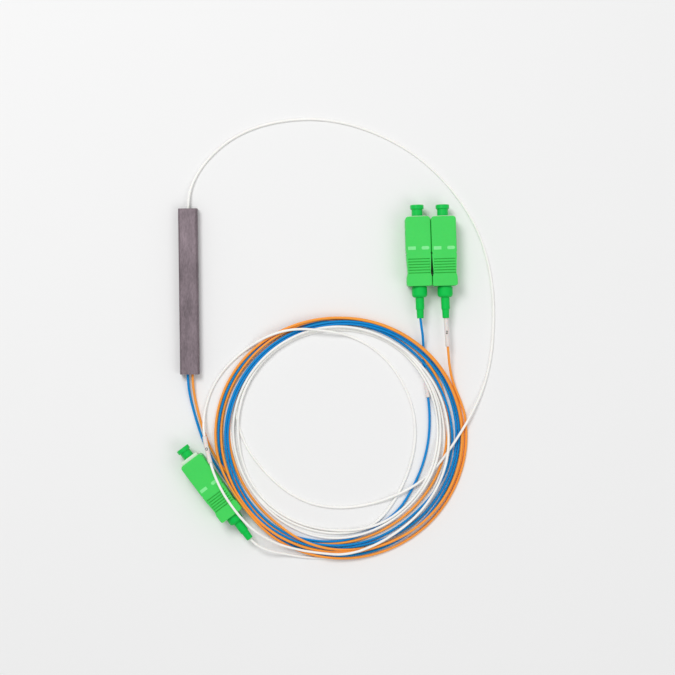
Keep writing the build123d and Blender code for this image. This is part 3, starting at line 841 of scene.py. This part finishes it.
class SPLITTER_OT_plugs(bpy.types.Operator):
    """Finish the plugs' housings, frames, ferrules, boots and caps, and add the depth marks"""
    bl_idname = "splitter.plugs"
    bl_label = "Plugs"

    def execute(self, context):
        plugs = context.scene.splitter_plugs
        leads = context.scene.splitter_leads
        finishes = {
            "housing": finish("housing_plastic", plugs.housing, spread=0.03, grain=1200,
                              roughness=0.38, bump=0.1, subsurface=0.08, specular=0.3),
            # The frames' pale colour carries a painted highlight of the lit front rim.
            "plug_frame": finish("frame_plastic", plugs.frame, spread=0.03, grain=1200,
                                 roughness=0.4, bump=0.1, subsurface=0.1),
            "dust_cap": finish("cap_plastic", plugs.inner, spread=0.04, grain=1500,
                               roughness=0.3, bump=0.08, subsurface=0.05, specular=0.35),
            "boot": finish("boot_rubber", plugs.inner, spread=0.04, grain=1500, roughness=0.5,
                           bump=0.15, subsurface=0.1, specular=0.2),
            "ferrule": finish("ferrule_ceramic", (0.94, 0.94, 0.93), spread=0.01, grain=3000,
                              roughness=0.15, bump=0.01, coat=0.3),
            "ferrule_flange": finish("flange_metal", (0.78, 0.78, 0.76), spread=0.05, grain=2500,
                                     roughness=0.28, bump=0.05, metallic=1.0),
            "back_post": finish("post_metal", (0.78, 0.78, 0.76), spread=0.05, grain=2500,
                                roughness=0.3, bump=0.05, metallic=1.0),
        }
        for lead, (_, number) in LEADS.items():
            for name, material in finishes.items():
                dress(frame["nodes"][f"{name}_{number}"], material)
            dress(frame["nodes"][f"fibre_end_{number}"], finish(
                f"jacket_end_{number}", getattr(leads, lead), spread=0.05, grain=1400,
                roughness=0.42))
        paint = finish("mark_paint", plugs.mark, spread=0.08, grain=2500, roughness=0.55, bump=0.2)
        for number in PLUG_PLACES:
            for side in (-1, 1):
                bar = self.bar(f"depth_mark_{number}_{'left' if side < 0 else 'right'}", side)
                slid = Matrix.Translation((0, -HOUSING_SLID_BACK[number] * MM, 0))
                bar.data.transform(plug_frame(number) @ slid)
                dress(bar, paint)
                add_to_object(bar, f"grip_{number}", "plug_green")
        return {"FINISHED"}

    def bar(self, name, side):
        """A thin painted bar across one side of the housing's top face."""
        top = PLUG_TOP - PLUG_AXIS_HEIGHT
        mesh = bmesh.new()
        bmesh.ops.create_cube(mesh, size=1)
        for vertex in mesh.verts:
            vertex.co = Vector((
                side * BAR_SIDES[vertex.co.x > 0],
                BAR_ENDS[vertex.co.y > 0],
                top + (BAR_PROUD if vertex.co.z > 0 else -BAR_SUNK),
            )) * MM
        upright = [edge for edge in mesh.edges
                   if edge.verts[0].co.z != edge.verts[1].co.z]
        bmesh.ops.bevel(mesh, geom=upright, offset=BAR_CORNER * MM, segments=BAR_CORNER_STEPS,
                        affect="EDGES")
        bmesh.ops.recalc_face_normals(mesh, faces=mesh.faces)
        data = bpy.data.meshes.new(name)
        mesh.to_mesh(data)
        mesh.free()
        piece = bpy.data.objects.new(name, data)
        bpy.context.scene.collection.objects.link(piece)
        return piece


class SPLITTER_OT_tube(bpy.types.Operator):
    """Finish the steel tube, its seals and the chip and glass inside it"""
    bl_idname = "splitter.tube"
    bl_label = "Steel tube"

    def execute(self, context):
        tube = context.scene.splitter_tube
        nodes = frame["nodes"]
        dress(nodes["steel_tube"], finish(
            "tube_steel", tube.steel, spread=0.42, grain=tube.grain, roughness=0.5, bump=0.25,
            stretch=(1, 0.3, 1), metallic=0.6))
        seal = finish("seal_rubber", (0.2, 0.2, 0.21), spread=0.15, grain=1800, roughness=0.6,
                      bump=0.4)
        glass = finish("chip_glass", (0.9, 0.93, 0.94), spread=0.01, grain=800, roughness=0.1,
                       bump=0.01, clear=0.9)
        bed = finish("bed_plastic", (0.18, 0.18, 0.19), spread=0.1, grain=1500, roughness=0.6,
                     bump=0.2)
        for name in ("input_seal", "output_seal"):
            dress(nodes[name], seal)
        dress(nodes["chip_bed"], bed)
        for name in ("splitter_chip", "chip_lid", "input_block", "input_block_lid", "output_block",
                     "output_block_lid", "input_glass_fibre", "output_glass_fibres"):
            dress(nodes[name], glass)
        return {"FINISHED"}


class SPLITTER_OT_declare(bpy.types.Operator):
    """Gather the pieces that each lead carries; nothing is done with them"""
    bl_idname = "splitter.declare"
    bl_label = "Declare the leads"

    def execute(self, context):
        for name, (_, number) in LEADS.items():
            pieces = [frame["nodes"][f"{part}_{number}"] for part in (
                "housing", "plug_frame", "ferrule", "ferrule_flange", "back_post", "boot",
                "dust_cap", "fibre_end")]
            pieces += [
                o for o in bpy.data.objects
                if o.name.startswith((f"number_sleeve_{number}_", f"number_{number}_",
                                      f"depth_mark_{number}_", f"ferrule_spring_{number}_"))
            ]
        return {"FINISHED"}


OPERATORS = (
    SPLITTER_OT_stage, SPLITTER_OT_leads, SPLITTER_OT_sleeves, SPLITTER_OT_springs,
    SPLITTER_OT_plugs, SPLITTER_OT_tube, SPLITTER_OT_declare,
)


class SPLITTER_PT_panel(bpy.types.Panel):
    """Lists the splitter's pieces and what can be changed"""
    bl_label = "Splitter"
    bl_idname = "SPLITTER_PT_panel"
    bl_space_type = "VIEW_3D"
    bl_region_type = "UI"
    bl_category = "Splitter"

    def draw(self, context):
        for group_name, kind in GROUPS.items():
            box = self.layout.box()
            for name in kind.__annotations__:
                box.prop(getattr(context.scene, group_name), name)
        for operator in OPERATORS:
            self.layout.operator(operator.bl_idname)


GROUPS = {
    "splitter_leads": SplitterLeads, "splitter_plugs": SplitterPlugs,
    "splitter_tube": SplitterTube, "splitter_stage": SplitterStage,
}
CLASSES = (*GROUPS.values(), *OPERATORS, SPLITTER_PT_panel)


def register():
    for kind in CLASSES:
        bpy.utils.register_class(kind)
    for name, group in GROUPS.items():
        setattr(bpy.types.Scene, name, bpy.props.PointerProperty(type=group))


def unregister():
    for name in GROUPS:
        delattr(bpy.types.Scene, name)
    for kind in reversed(CLASSES):
        bpy.utils.unregister_class(kind)


def main():
    register()
    bpy.ops.splitter.stage()
    bpy.ops.splitter.leads()
    bpy.ops.splitter.sleeves()
    bpy.ops.splitter.springs()
    bpy.ops.splitter.plugs()
    bpy.ops.splitter.tube()
    bpy.ops.splitter.declare()


if __name__ == "__main__":
    main()
